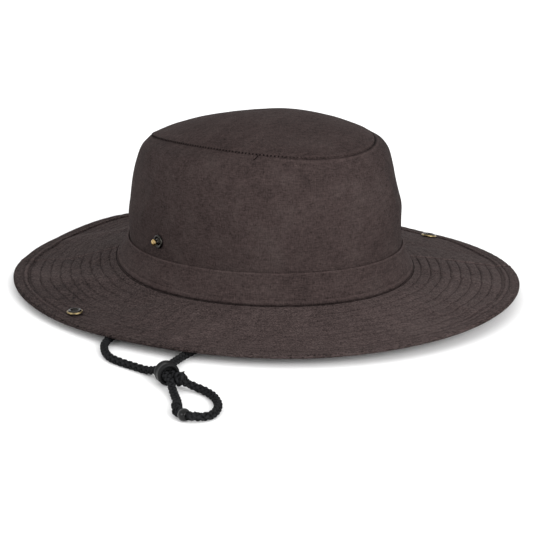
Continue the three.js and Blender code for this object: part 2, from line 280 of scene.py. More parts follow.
sideCloth = makeCloth("sideCloth", (0.0352, 0.025, 0.024, 1), True, 0.95)
tipCloth = makeCloth("tipCloth", (0.0328, 0.0229, 0.0219, 1), False, 1.15)
bandCloth = makeCloth("bandCloth", (0.036, 0.0255, 0.0245, 1), True, 1.05)
brimCloth = makeCloth("brimCloth", (0.0446, 0.0327, 0.0315, 1), False, 1.5, 2.0, 0.6, 0.95)
# near-black: the tip's seam thread, and painted shade for the crevice at the band's foot
seamThreadAndShade = makeThread("seamThreadAndShade", (0.006, 0.004, 0.0038))
rowThread = makeThread("rowThread", (0.025, 0.0178, 0.017))
agedBrass = makeBrass("agedBrass", (0.44, 0.31, 0.13, 1), (0.1, 0.075, 0.045, 1), 0.2)
dullBrass = makeBrass("dullBrass", (0.34, 0.26, 0.13, 1), (0.06, 0.05, 0.035, 1), 0.3)
darkBrass = makeBrass("darkBrass", (0.034, 0.032, 0.028, 1), (0.014, 0.0135, 0.013, 1), 0.18)
togglePlastic = makePlastic("togglePlastic", (0.0092, 0.0093, 0.0098), 0.06, 0.36, 0.12)
beadPlastic = makePlastic("beadPlastic", (0.0016, 0.0017, 0.0019), 0.26, 0.09, 0.03)
cordBraid = makeBraidFinish("cordBraid", (0.0061, 0.0062, 0.0066))
print("materials made")


# Meshes
def unit(vectors):
    return vectors / np.maximum(np.linalg.norm(vectors, axis=-1, keepdims=True), 1e-9)


def facing(vectors, directions):
    # each vector turned round if it points away from its direction
    return np.where((vectors * directions).sum(-1, keepdims=True) < 0, -vectors, vectors)


def outward(points, *faceSets):
    # faces turned so that a closed body's normals point out
    volume = 0
    for faces in faceSets:
        corners = points[faces]
        for k in range(1, faces.shape[1] - 1):
            volume += (corners[:, 0] * np.cross(corners[:, k], corners[:, k + 1])).sum()
    return [faces if volume > 0 else faces[:, ::-1] for faces in faceSets]


def endCaps(rings, sides):
    # one face at each end of a tube of rings
    spin = np.arange(sides)
    return np.array([spin[::-1], spin + (rings - 1) * sides])


def ringFaces(rings, sides, closed):
    rows = rings if closed else rings - 1
    i, j = np.meshgrid(np.arange(rows), np.arange(sides), indexing="ij")
    below, beside = (i + 1) % rings, (j + 1) % sides
    corners = [i * sides + j, i * sides + beside, below * sides + beside, below * sides + j]
    return np.stack(corners, -1).reshape(-1, 4)


def makePiece(name, points, faceSets, material, replaced=(), paintedShading=None):
    mesh = bpy.data.meshes.new(name)
    faces = [face for faceSet in faceSets for face in faceSet.tolist()]
    mesh.from_pydata((points * metre).tolist(), [], faces)
    mesh.shade_smooth()
    # painted light and shade kept on each point, for the finish to read
    if paintedShading is not None:
        mesh.attributes.new("paintedShading", "FLOAT", "POINT").data.foreach_set("value", paintedShading.ravel())
    mesh.materials.append(material)
    piece = bpy.data.objects.new(name, mesh)
    show(piece)
    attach(piece, "root")
    if replaced:
        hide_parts(*replaced)
    return piece


def ringsPiece(name, rings, material, replaced=(), paintedShading=None, closed=True):
    # a piece of rings of points: the last ring meets the first, or both ends are capped
    points = rings.reshape(-1, 3)
    count, sides = rings.shape[:2]
    faceSets = [ringFaces(count, sides, closed)]
    if not closed:
        faceSets.append(endCaps(count, sides))
    return makePiece(name, points, outward(points, *faceSets), material, replaced, paintedShading)


def joined(bodies):
    # several bodies' points and sets of faces as one mesh
    pointSets, faceSets, start = [], [], 0
    for points, bodyFaces in bodies:
        pointSets.append(points)
        faceSets += [faces + start for faces in bodyFaces]
        start += len(points)
    return np.vstack(pointSets), faceSets


def wavesAt(points, size, offset):
    # smooth noise at each point, about -1 to 1
    moved = points.reshape(-1, 3) / size + offset
    values = [noise.noise(Vector(place)) for place in moved.tolist()]
    return np.array(values).reshape(points.shape[:-1])


def turnsOf(count):
    return np.arange(count) * 2 * math.pi / count


def turned(profile, sides, centre, axis):
    # rings of a turned body, whose profile points are (radius, distance along the axis)
    axis = unit(np.array(axis, float))
    helper = upward if abs(axis[2]) < 0.9 else np.array([1.0, 0, 0])
    first = unit(np.cross(axis, helper))
    turn = turnsOf(sides)[:, None]
    spokes = np.cos(turn) * first + np.sin(turn) * np.cross(axis, first)
    shape = np.array(profile, float)
    return shape[:, :1, None] * spokes + shape[:, 1:, None] * axis + np.array(centre, float)


def softCorners(profile, rounds=2):
    # a profile with its corners cut again and again, for a rounded look
    shape = np.array(profile, float)
    for _ in range(rounds):
        near = shape[:-1] * 0.75 + shape[1:] * 0.25
        far = shape[:-1] * 0.25 + shape[1:] * 0.75
        shape = np.vstack([shape[:1], np.stack([near, far], 1).reshape(-1, 2), shape[-1:]])
    return shape


# Chin cord, with its slide, bead and knots
cord = {
    "diameter": 4.0,
    "strands": 8,
    "lay": 17.5,  # one strand's turn round the cord
    "coreRadius": 1.3,
    "strandRadius": 1.45,  # from the middle of the cord to the middle of a strand
    "strandHalfWidth": 1.06,
    "strandHalfHeight": 0.55,
    "weaveDepth": 0.6,
    "corners": 6,  # of a strand's section
    "step": 0.62,
    "knotStep": 0.5,
    "clear": 0.02,  # the least height over the floor
    "knotClear": 0.03,
    "rest": 0.28,  # lifts the cord where it lies, so that its strands clear the floor
}
cordRoute = [
    (-76.2, 3.1, 22.1), (-77.8, 3, 17), (-81.7, 0.6, 9.2), (-90, -5.3, 4),
    (-103, -13.3, 2.4), (-139.6, -34.9, 2.1), (-148.2, -41.2, 2.1), (-155.8, -50.4, 2.1),
    (-162.3, -66.4, 2.1), (-160.2, -88, 2.1), (-158.6, -97.4, 2.4),
    (-158.4, -104.5, 4.3), (-159.7, -112.3, 6.7), (-161.2, -118.1, 6.7), (-162.8, -123.9, 6.7),
    (-164.6, -129.9, 5.3), (-167.2, -135.4, 3), (-171.5, -143.8, 2.2), (-176.7, -153.4, 2.3),
    (-184.8, -164.0, 3.2), (-186.7, -173.4, 3.8), (-181.9, -179.1, 3.1), (-174.1, -180.2, 2.3),
    (-163, -172.2, 2.1), (-155.1, -158.4, 2.1), (-152.9, -146.2, 2.2),
    (-154.9, -137.8, 3.4), (-158, -131.4, 5.6), (-158.7, -125.1, 6.7), (-157.1, -119.3, 6.7),
    (-155.5, -113.5, 6.7), (-143.4, -100.8, 3.9), (-127, -89.9, 2.2), (-113, -83.9, 2.2),
    (58, -7.8, 2.3), (70.2, -2.3, 2.3), (75.3, -0.1, 3.7), (78.6, 1.3, 7.2), (79.6, 1.8, 12.4),
    (76.8, 0.6, 22),
]


def runAlong(line):
    # each point's distance from the start of the line
    return np.concatenate([[0], np.cumsum(np.linalg.norm(np.diff(line, axis=0), axis=1))])


def hermite(f, start, end, leave, arrive):
    # a smooth way from start to end at share f, given its slopes there
    return ((2 * f ** 3 - 3 * f ** 2 + 1) * start + (f ** 3 - 2 * f ** 2 + f) * leave
            + (3 * f ** 2 - 2 * f ** 3) * end + (f ** 3 - f ** 2) * arrive)


def throughPoints(points, step):
    # the same curve as the hat's solids have: centripetal, then spaced evenly
    points = np.array(points, float)
    points = np.vstack([2 * points[0] - points[1], points, 2 * points[-1] - points[-2]])
    gaps = np.linalg.norm(np.diff(points, axis=0), axis=1) ** 0.5
    share = (np.arange(24) / 24)[:, None]
    spans = []
    for k in range(1, len(points) - 2):
        p0, p1, p2, p3 = points[k - 1:k + 3]
        t0, t1, t2 = gaps[k - 1:k + 2]
        leave = ((p1 - p0) / t0 - (p2 - p0) / (t0 + t1) + (p2 - p1) / t1) * t1
        arrive = ((p2 - p1) / t1 - (p3 - p1) / (t1 + t2) + (p3 - p2) / t2) * t1
        spans.append(hermite(share, p1, p2, leave, arrive))
    return evenly(np.vstack(spans + [points[-2][None]]), step)


def evenly(line, step):
    run = runAlong(line)
    places = np.linspace(0, run[-1], max(4, round(run[-1] / step) + 1))
    return np.stack([np.interp(places, run, line[:, k]) for k in range(3)], 1)


def framesAlong(line):
    # directions across the line that don't twist as it goes
    ahead = unit(np.gradient(line, axis=0))
    side = unit(np.cross(ahead[0], [0.3, 0.2, 1.0]))
    sides = []
    for direction in ahead:
        side = unit(side - direction * float(side @ direction))
        sides.append(side)
    sides = np.array(sides)
    return ahead, sides, np.cross(ahead, sides)


def tubeMesh(line, around, half):
    # a tube of elliptical section: around holds unit vectors outward, half is (across, outward)
    across = unit(np.cross(unit(np.gradient(line, axis=0)), around))
    turn = turnsOf(cord["corners"])[:, None, None]
    rings = (line + np.cos(turn) * across * half[0] + np.sin(turn) * around * half[1]).transpose(1, 0, 2)
    points = rings.reshape(-1, 3)
    shape = len(line), cord["corners"]
    return points, outward(points, ringFaces(*shape, False), endCaps(*shape))


def braidPiece(name, line, thin, clear, replaced=()):
    # strands wound both ways round the line, over and under each other, with painted light where they stand
    # out and painted shade on the core between them
    _, side, up = framesAlong(line)
    run = runAlong(line)
    each = cord["strands"] // 2
    weave = np.cos(math.pi * run * cord["strands"] / cord["lay"])
    outside = np.sin(turnsOf(cord["corners"]))
    tubes, paintedShadings = [], []
    for way in (1, -1):
        for strand in range(each):
            turn = 2 * math.pi * (strand / each + way * run / cord["lay"])[:, None]
            spoke = np.cos(turn) * side + np.sin(turn) * up
            reach = cord["strandRadius"] * thin + way * cord["weaveDepth"] * weave
            half = (cord["strandHalfWidth"] * thin, cord["strandHalfHeight"])
            tubes.append(tubeMesh(line + spoke * reach[:, None], spoke, half))
            # painted light on each strand's outer side and where it passes over, painted shade where it
            # passes under
            paintedShadings.append((0.55 * outside + 0.4 * way * weave[:, None]).ravel())
    tubes.append(tubeMesh(line, side, (cord["coreRadius"] * thin,) * 2))
    # painted shade over the core, which lies between the strands
    paintedShadings.append(np.full(len(tubes[-1][0]), -1.0))
    points, faceSets = joined(tubes)
    points[:, 2] = np.maximum(points[:, 2], clear)
    return makePiece(name, points, faceSets, cordBraid, replaced, np.concatenate(paintedShadings))


routeLine = throughPoints(cordRoute, cord["step"])
routeLine[:, 2] += cord["rest"] * np.exp(2.1 - np.maximum(routeLine[:, 2], 2.1))
toggle = {
    "front": (-160.2, -122.5, 6.7),
    "heading": -105,
    "diameter": 13.3,
    "length": 8.2,
    "bore": 9.1,
    "round": 1.9,
    "waist": 0.3,  # the barrel is a little slimmer in the middle
    "catch": (2.6, 6.4),  # where the catch inside starts and ends
    "slot": (4.45, 2.3),  # its slot for the two strands
    "sides": 64,
}
bead = {
    "diameter": 7.2, "length": 5.6, "bore": 4.4, "chamfer": 0.3, "sides": 48,
    "routePoint": 20,  # it sits on this point of the route, a little lower
    "drop": 0.1,
}


def makeToggle():
    angle = math.radians(toggle["heading"])
    back = np.array([-math.cos(angle), -math.sin(angle), 0])
    outer, inner = toggle["diameter"] / 2, toggle["bore"] / 2
    length, bend = toggle["length"], toggle["round"]
    half = [
        (inner, length / 2), (inner, 0.9), (inner + 0.15, 0.3), (inner + 0.6, 0), (outer - bend / 2, 0),
        (outer - 0.1, bend * 0.35), (outer, bend), (outer - toggle["waist"], length * 0.4),
    ]
    profile = softCorners(half + [(radius, length - along) for radius, along in half[::-1]])[:-1]
    rings = turned(profile, toggle["sides"], toggle["front"], back)
    barrel = ringsPiece("cord_slide", rings, togglePlastic, ["cord_toggle"])
    return [barrel, makeCatch(back, inner - 0.05)]


def makeCatch(back, outer):
    # a round plate that fills the barrel's bore round the two strands
    turn = turnsOf(48)
    level = np.array([-back[1], back[0], 0])
    wide, tall = toggle["slot"]
    slot = np.stack([np.sign(np.cos(turn)) * (wide - tall) + np.cos(turn) * tall, np.sin(turn) * tall], 1)
    rim = np.stack([np.cos(turn), np.sin(turn)], 1) * outer
    start, end = (toggle["front"] + back * along for along in toggle["catch"])
    rings = [
        place + shape[:, :1] * level + shape[:, 1:] * upward
        for shape, place in ((slot, start), (rim, start), (rim, end), (slot, end))
    ]
    catch = ringsPiece("cord_slide_catch", np.array(rings), togglePlastic)
    catch.data.shade_flat()
    return catch


def makeBead():
    before, middle, after = (np.array(cordRoute[bead["routePoint"] + k]) for k in (-1, 0, 1))
    outer, inner, length = bead["diameter"] / 2, bead["bore"] / 2, bead["length"]
    lean = np.linspace(-1, 1, 13) * math.asin(length / 2 / outer)
    profile = [(outer * math.cos(angle), outer * math.sin(angle)) for angle in lean]
    profile += [(inner, way * (length / 2 - bead["chamfer"])) for way in (1, -1)]
    rings = turned(profile, bead["sides"], middle - (0, 0, bead["drop"]), (after - before) * (1, 1, 0))
    return ringsPiece("cord_end_bead", rings, beadPlastic, ["cord_bead"])


# A knot is a short length of the cord, wound tight round the rest:
# place on the cord, turns, radius, length along the cord, first angle and thinness.
knots = {
    "slide_knot": ((-158.6, -129.4, 5.9), 2.1, 1.8, 6.0, 0.6, 0.9),
    "leg_knot": ((-180.8, -158.5, 2.7), 1.4, 1.3, 4.6, 2.2, 0.8),
    "bead_knot": ((-185.8, -167.0, 3.6), 1.6, 1.3, 3.8, 0.4, 0.8),
    "bottom_knot": ((-184.7, -177.7, 3.4), 1.4, 0.8, 3.6, 1.4, 0.8),
}
# the cut end that stands out of the knot at the slide
cutEnd = [(-158.2, -128.0, 6.4), (-157.0, -127.8, 7.2), (-155.6, -127.8, 7.5), (-154.3, -128.2, 7.2)]


def makeKnot(name, place, turns, radius, advance, phase, thin):
    nearest = int(np.linalg.norm(routeLine - np.array(place), axis=1).argmin())
    ahead, side, up = (rows[nearest] for rows in framesAlong(routeLine))
    centre = routeLine[nearest] + (0, 0, max(0, radius + 2.3 * thin - routeLine[nearest][2]))
    share = np.linspace(0, 1, 60)[:, None]
    turn = phase + share * turns * 2 * math.pi
    reach = radius * np.minimum(1, 0.2 + 5 * np.minimum(share, 1 - share))
    line = centre + ahead * (share - 0.5) * advance + reach * (np.cos(turn) * side + np.sin(turn) * up)
    return braidPiece(name, evenly(line, cord["knotStep"]), thin, cord["knotClear"])


def makeCord():
    made = braidPiece("chin_cord_braid", routeLine, 1, cord["clear"], ["chin_cord"])
    threaded = [*makeToggle(), makeBead()]
    threaded += [makeKnot(name, *shape) for name, shape in knots.items()]
    threaded.append(braidPiece("cut_end", throughPoints(cutEnd, cord["knotStep"]), 0.75, cord["knotClear"]))


makeCord()
print("chin cord made", round(runAlong(routeLine)[-1]), "mm long")


# Shape of the hat: the same surfaces as its solids
brim = {
    "halfLength": 170,
    "halfWidth": 152,
    "width": 65,
    "thickness": 2.4,
    "hemStart": 0.865,  # shares of the brim's width, from the crown to the edge
    "hemRaise": 0.5,
    "sag": 3,
    "gap": 0.35,
    "turnsMade": 600,
    "rows": (0.085, 0.175, 0.27, 0.365, 0.46, 0.555, 0.65, 0.745, 0.838, 0.905),
    "rowDepth": 0.45,
    "rowWidth": 0.42,
    "rowWander": 0.45,
    "puff": 0.17,
    "pucker": 0.2,
    "puckerPitch": 8.5,
    "waves": ((46, 1.0), (20, 0.45), (9, 0.14)),
    "seams": (-31, 131),  # degrees round the hat
    "seamDepth": 0.3,
    "seamRidge": 0.5,
    "backShift": 0.014,  # the back half's rows don't quite meet the front's
    "roundEdge": 1.45,
    "edgeArcs": (62, 35, 10, -15, -40, -65),
    "underRows": (0.95, 0.9, 0.868, 0.83, 0.74, 0.65, 0.555, 0.46, 0.365, 0.27, 0.175, 0.085, 0.0),
}
crown = {
    "clothThickness": 1.6,
    "bandThickness": 1.0,
    "domeRise": 15.5,
    "domeFullness": 0.86,
    "turnsMade": 480,
    "waves": ((42, 0.8), (17, 0.3), (7, 0.08)),
    "grooveDepth": 0.7,
    "lipHeight": 0.3,
    "degree": 1.6,  # millimetres round the crown
    "backSeam": 90,
    "backSeamDepth": 0.4,
    "bandJoin": 100,
    "bandLap": 9,
}
# height, half length, half width, back, rake, lean, saddle and squareness of the crown's rings
ringShapes = [
    (17, 104.6, 87.6, 0, -0.4, 1.2, -1.1, 1.88),  # brim seam
    (31, 97.8, 78.6, 0, 4.2, 0, -0.3, 1.92),  # top of the band
    (59, 95.4, 77.3, 0.4, 6.4, -1, 1.2, 2),  # middle
    (87.2, 86.6, 72, 1.5, 8.8, -1.6, 2.4, 2),  # shoulder
    (96, 84.4, 59.2, 3.1, 8.8, -1.6, 2.9, 2),  # tip seam
]
# angle and lift of the brim's edge off the surface
brimLift = [
    (-180, 3.8), (-164, 4.8), (-143, 5.2), (-118, 5.3), (-90, 7.2), (-60, 8.2), (-30, 5),
    (0, 1), (18, -0.6), (45, 1), (88, 3.6), (115, -0.6), (145, 3.2),
]
# how far the cloth's edge reaches past the solid's, by angle
brimReach = [
    (-180, 1), (-150, 0), (-110, 0), (-62, 0.4), (-30, 1.3), (10, 0.9), (60, 0), (125, 0.2), (158, 1.3),
]
# how bold the brim's rows of stitching look, by angle
rowBoldness = [
    (-180, 0.4), (-168, 0.22), (-135, 0.2), (-95, 0.35), (-66, 0.5), (-44, 0.75), (-34, 0.9), (-28, 0.25),
    (20, 0.3), (90, 0.35), (125, 0.25), (134, 0.65), (160, 0.65),
]
# painted shade by angle on the brim and the crown, standing in for how the light falls on each side: 1 is
# plain
brimPaintedShade = [(-180, 0.6), (-150, 1), (-115, 1.35), (-70, 1.2), (-30, 0.9), (30, 0.85), (90, 0.7), (135, 0.5)]
crownPaintedShade = [
    (-180, 0.7), (-150, 0.92), (-110, 1), (-75, 0.9), (-48, 0.38), (-10, 0.2), (60, 0.8), (120, 0.8),
]
# how deep the tip's seam is pulled in, by angle
seamDepth = [
    (-180, 0.2), (-137, 0.2), (-122, 0.8), (-104, 0.9), (-60, 1.1), (-20, 1.1), (60, 0.7), (140, 0.4),
]
# how far the hem stands up from its seam, by angle
hemStand = [(-180, 1), (-140, 0.8), (-90, 0.7), (-40, 1), (0, 1.5), (60, 1.5), (120, 1.7), (160, 1.5)]
# soft folds across the brim: from angle and share to angle and share, height, half width in mm
brimFolds = [
    (146, 0.15, 118, 0.85, -1, 6), (160, 0.2, 140, 0.9, 0.8, 7), (100, 0.2, 112, 0.8, 0.9, 7),
    (-172, 0.25, 178, 0.8, -0.6, 6), (-140, 0.2, -152, 0.75, 0.6, 7), (-118, 0.25, -126, 0.8, -0.7, 7),
    (-98, 0.2, -88, 0.8, 0.6, 8), (-66, 0.15, -76, 0.8, -0.7, 7), (-44, 0.2, -52, 0.85, 0.6, 6),
    (-12, 0.2, -18, 0.8, -0.7, 7), (24, 0.2, 16, 0.8, 0.7, 8), (58, 0.2, 66, 0.8, -0.8, 8),
    (-168, 0.25, -170, 0.9, 0.45, 2.2), (-163, 0.1, -166, 0.7, 0.5, 2.2), (-158, 0.2, -161, 0.95, 0.6, 2.4),
    (-153, 0.1, -157, 0.8, 0.55, 2.2), (-148, 0.25, -152, 0.95, 0.5, 2.2), (-142, 0.1, -147, 0.7, 0.5, 2.4),
    (-135, 0.2, -139, 0.6, 0.4, 2.4), (-74, 0.1, -79, 0.6, 0.5, 2.6), (-67, 0.15, -71, 0.8, 0.5, 2.4),
]
# angle, height, depth, spread and tallness of the crown's dents
crownDents = [
    (-108, 64, 2.4, 24, 15), (-152, 60, 1.8, 14, 17), (-44, 56, -1.3, 9, 9),
    (12, 62, 2.2, 20, 14), (98, 56, 2.6, 22, 14), (160, 66, 1.6, 16, 12),
    # fuller cloth than the solid's
    (-46, 95, -1.3, 28, 14), (-50, 36, -1, 24, 9), (134, 40, -1.1, 26, 13),
]
# the crown's soft folds, listed like the brim's, with heights for shares
crownFolds = [
    (-128, 86, -112, 56, 0.55, 4.5), (-96, 88, -84, 62, -0.5, 5), (-70, 82, -58, 50, 0.6, 5),
    (-46, 74, -40, 44, -0.7, 4), (-150, 78, -140, 48, -0.5, 4.5), (-20, 80, -8, 52, 0.6, 5.5),
    (34, 84, 46, 54, -0.6, 5), (72, 80, 60, 50, 0.6, 5), (120, 82, 132, 52, -0.6, 5),
    (172, 80, 160, 50, 0.6, 5),
]


def smoothColumn(values, s):
    values = np.array(values, float)
    last = len(values) - 1
    i = np.minimum(np.floor(s).astype(int), last - 1)

    def at(k):
        return values[np.clip(k, 0, last)]

    def slope(k):
        rise = at(k + 1) - at(k - 1)
        return np.where((k <= 0) | (k >= last), rise, rise / 2)

    return hermite(s - i, at(i), at(i + 1), slope(i), slope(i + 1))


def apart(first, second):
    # degrees from second to first, -180 to 180
    return (first - second + 180) % 360 - 180


def roundTheHat(table, degrees):
    # a smooth value at any angle from a table of angles and values
    angles, values = np.array(table, float).T
    count = len(angles)
    degrees = (degrees + 180) % 360 - 180
    i = np.searchsorted(angles, degrees, side="right") - 1

    def row(k):
        return angles[k % count] + 360 * (k // count), values[k % count]

    (a0, v0), (a1, v1), (a2, v2), (a3, v3) = (row(i + k) for k in (-1, 0, 1, 2))
    span = a2 - a1
    leave, arrive = (v2 - v0) / (a2 - a0) * span, (v3 - v1) / (a3 - a1) * span
    return np.maximum(0, hermite((degrees - a1) / span, v1, v2, leave, arrive))


def roundPower(value, power):
    return np.sign(value) * np.abs(value) ** power


def alike(first, second):
    # both as arrays of one shape
    return np.broadcast_arrays(np.asarray(first, float), np.asarray(second, float))


def crownPoint(s, t):
    # s is a place among the crown's rings, t a turn round the hat from +X
    s, t = alike(s, t)
    height, length, width, back, rake, lean, saddle, square = (
        smoothColumn([ring[k] for ring in ringShapes], s) for k in range(8))
    x = width * roundPower(np.cos(t), 2 / square)
    y = back + length * roundPower(np.sin(t), 2 / square)
    z = height + lean * x / 100 - rake * y / 100 + saddle * np.cos(2 * t)
    degrees = np.degrees(np.arctan2(y, x))
    push = sum(depth * np.exp(-(apart(degrees, angle) / spread) ** 2 - ((z - level) / tall) ** 2)
               for angle, level, depth, spread, tall in crownDents)
    reach = np.maximum(np.hypot(x, y), 1e-6)
    return np.stack([x * (1 - push / reach), y * (1 - push / reach), z], -1)


def tipPoint(r, t):
    # r is the share of the way from the middle of the dome to its seam
    centre = np.array([0, ringShapes[4][3], ringShapes[4][0]])
    r, t = alike(r, t)
    point = centre + (crownPoint(4, t) - centre) * r[..., None]
    point[..., 2] += crown["domeRise"] * np.maximum(0, 1 - r * r) ** crown["domeFullness"]
    return point


def brimEdge(t):
    return brim["halfWidth"] * np.cos(t), brim["halfLength"] * np.sin(t)


def brimPoint(s, t):
    # s is the share of the brim's width
    s, t = alike(s, t)
    inner = crownPoint(0, t)
    inner = inner + unit(inner * flat) * brim["gap"]
    x, y = brimEdge(t)
    degrees = np.degrees(np.arctan2(y, x))
    reach = 1 + roundTheHat(brimReach, degrees) / brim["halfLength"]
    outer = np.stack([x * reach, y * reach, roundTheHat(brimLift, degrees) + brim["thickness"]], -1)
    point = inner + (outer - inner) * s[..., None]
    point[..., 2] -= brim["sag"] * np.sin(math.pi * s) * (1 - np.cos(t)) / 2
    return point


def gridNormals(points):
    # normals of rows of rings, pointing away from the hat's axis or up where the rows run up or in
    around = np.roll(points, -1, axis=1) - np.roll(points, 1, axis=1)
    return unit(np.cross(around, np.gradient(points, axis=0)))


def ringRuns(points):
    # distance of each ring's points from the first ring
    steps = np.linalg.norm(np.diff(points, axis=0), axis=2)
    return np.concatenate([np.zeros((1, points.shape[1])), np.cumsum(steps, axis=0)])


def bell(distance, width):
    return np.exp(-(distance / width) ** 2)


def softStep(distance):
    return 1 / (1 + np.exp(-distance / 0.25))


def foldLines(folds, degrees, level, scale, stretch):
    # ridges along lines given by angle and level at both ends
    total = 0
    for fromAngle, fromLevel, toAngle, toLevel, depth, half in folds:
        x, y = apart(degrees, fromAngle) * scale, (level - fromLevel) * stretch
        dx, dy = apart(toAngle, fromAngle) * scale, (toLevel - fromLevel) * stretch
        share = np.clip((x * dx + y * dy) / (dx * dx + dy * dy), 0, 1)
        total = total + depth * bell(np.hypot(x - share * dx, y - share * dy), half)
    return total


# Stitches: short threads laid along a closed line
stitch = {"length": 1.9, "pitch": 2.6, "halfWidth": 0.26, "height": 0.2, "endWidth": 0.35, "straight": 0.34}


def stitchMesh(line, normals, pitch, length, halfWidth, height, endWidth, straight):
    # each stitch has four sections of four corners
    closedLine, closedNormals = (np.vstack([rows, rows[:1]]) for rows in (line, normals))
    run = runAlong(closedLine)
    count = round(run[-1] / pitch)
    places = (np.arange(count) + 0.5) * run[-1] / count
    near = 0.4

    def at(distance, rows):
        return np.stack([np.interp(distance % run[-1], run, rows[:, k]) for k in range(3)], 1)

    ahead = unit(at(places + near, closedLine) - at(places - near, closedLine))
    up = unit(at(places, closedNormals))
    across = unit(np.cross(up, ahead))
    along = np.array([-0.5, -straight, straight, 0.5]) * length
    section = np.array([(-1, 0), (0, 1), (1, 0), (0, -1)])
    local = np.array([
        (start, side * halfWidth * full, rise * height * full)
        for start, full in zip(along, (endWidth, 1, 1, endWidth)) for side, rise in section])
    points = (at(places, closedLine)[:, None] + local[None, :, :1] * ahead[:, None]
              + local[None, :, 1:2] * across[:, None] + local[None, :, 2:] * up[:, None])
    faces = np.vstack([ringFaces(4, 4, False), endCaps(4, 4)])
    allFaces = (faces[None] + (np.arange(count) * len(local))[:, None, None]).reshape(-1, 4)
    points = points.reshape(-1, 3)
    return points, outward(points, allFaces)


def makeStitches(name, lines, material, slot, **changes):
    size = {**stitch, **changes}
    points, faceSets = joined(stitchMesh(line, normals, **size) for line, normals in lines)
    makePiece(name, points, faceSets, material)


# Brim
def perTurn(s):
    # millimetres round the brim for one radian
    return 88 + 72 * s


def unevenAt(t, spread, third, offset):
    # smooth noise round the hat, with a third value
    return wavesAt(np.stack([np.cos(t) * spread, np.sin(t) * spread, third], -1), 1, offset)


def rowShift(t):
    # the back half's rows lie a little further out than the front's
    degrees = np.degrees(t)
    first, second = brim["seams"]
    back = np.tanh(apart(degrees, first) / 0.9) * np.tanh(-apart(degrees, second) / 0.9)
    far = np.abs(apart(degrees, (first + second) / 2)) > 120
    return brim["backShift"] * np.where(far, -1, back) * 0.5


def brimRelief(s, t):
    # height over the plain surface, and painted light and shade, at share s and turn t
    degrees = np.degrees(t)
    wander = brim["rowWander"] * unevenAt(t, 5, s * 3, 9.1) / brim["width"]
    level = s + wander * np.clip((1 - s) / 0.2, 0, 1)
    edges = np.array([-0.02, *brim["rows"], 1.03])
    channel = np.clip(np.searchsorted(edges, level) - 1, 0, len(edges) - 2)
    share = (level - edges[channel]) / (edges[channel + 1] - edges[channel])
    puff = np.sin(math.pi * np.clip(share, 0, 1))
    drift = unevenAt(t, 6, channel * 3.7, 5.3)
    patch = np.clip(0.5 + 0.9 * drift, 0.05, 1.3)
    slant = np.where(channel % 2 == 0, 1.9, -1.5)
    wave = 2 * math.pi * t * perTurn(s) / brim["puckerPitch"]
    pucker = puff * np.sin(wave + channel * 2.4 + slant * share + 4 * drift) * patch
    bold = roundTheHat(rowBoldness, degrees)
    rows = sum(bell((level - row) * brim["width"], brim["rowWidth"]) for row in brim["rows"])
    rows = rows * bold * (1 + 0.45 * unevenAt(t, 22, channel * 2.1, 1.7))
    fromHem = (level - brim["hemStart"]) * brim["width"]
    stand = roundTheHat(hemStand, degrees)
    hem = softStep(fromHem)
    groove = stand * bell(fromHem + 0.45, 0.55)
    fromSeams = [np.radians(apart(degrees, seam)) * perTurn(s) for seam in brim["seams"]]
    seams = sum(bell(away, 0.6) for away in fromSeams)
    ridges = sum(bell(away - 1.0, 0.7) for away in fromSeams)
    height = (brim["puff"] * puff * bold + brim["pucker"] * pucker * (0.5 + 0.5 * bold)
              - brim["rowDepth"] * rows + brim["hemRaise"] * stand * hem - 0.3 * groove
              - brim["seamDepth"] * seams + brim["seamRidge"] * ridges)
    # painted light and shade: painted shade by angle, light on the puffs, the seam ridges and the standing
    # hem, shade in the rows, the seams and the hem's groove, and a little darker over the hem
    paintedShading = roundTheHat(brimPaintedShade, degrees) - 1 + 0.22 * puff * bold + 0.14 * pucker - 0.95 * rows
    paintedShading = paintedShading + 0.4 * stand * bell(fromHem - 1.0, 0.9) - 0.75 * groove - 0.22 * hem
    return height, paintedShading - 0.5 * seams + 1.3 * ridges


def brimTop(s, t):
    # the finished upper surface and its painted light and shade: s is moved so that rows step at the side
    # seams
    s, t = alike(s, t)
    point = brimPoint(s + rowShift(t) * np.sin(math.pi * np.clip(s, 0, 1)), t)
    height, paintedShading = brimRelief(s, t)
    waves = sum(depth * wavesAt(point * flat, size, size * 0.3) for size, depth in brim["waves"])
    folds = foldLines(brimFolds, np.degrees(t), s, 2.3, brim["width"])
    calm = np.clip(np.minimum(s / 0.12, (1 - s) / 0.14), 0, 1)
    point[..., 2] += height + (waves + folds) * calm
    # painted light along the tops of the folds
    return point, paintedShading + 0.45 * np.maximum(folds, 0) * calm


def brimUnder(s, t):
    # the under surface, which comes down to the hem's own lift near the edge
    point = brimPoint(s, t)
    x, y = brimEdge(t)
    lift = roundTheHat(brimLift, np.degrees(np.arctan2(y, x)))
    inHem = s > brim["hemStart"]
    rows = sum(bell((s - row) * brim["width"], 0.6) for row in brim["rows"])
    slope = point[..., 2] - brim["thickness"] - lift
    point[..., 2] = lift + slope * np.where(inHem, np.minimum(1, lift / 1.5), 1)
    point[..., 2] += 0.25 * rows * np.where(inHem, np.minimum(1, lift), 1)
    # painted shade along the rows underneath
    return point, -0.8 * rows * np.ones(point.shape[:2])


def thinned(values, least):
    # the values in order, none nearer to the one before than least
    kept = [min(values)]
    for value in sorted(values):
        if value - kept[-1] > least:
            kept.append(value)
    return np.array(kept)


def brimTurns():
    # closer together by the side seams
    near = [math.radians(seam) + np.arange(-0.02, 0.03, 0.0025) for seam in brim["seams"]]
    turns = np.concatenate([turnsOf(brim["turnsMade"]), *near]) % (2 * math.pi)
    return thinned(turns.tolist(), 0.001)[None]


def brimShares():
    # closer together by the rows and the hem
    fine = (*brim["rows"], 0.865, 0.874)
    near = [row + step for row in fine for step in (-0.012, -0.005, 0, 0.005, 0.012)]
    return thinned([*np.arange(0, 0.955, 0.017), *near], 0.0034)[:, None]


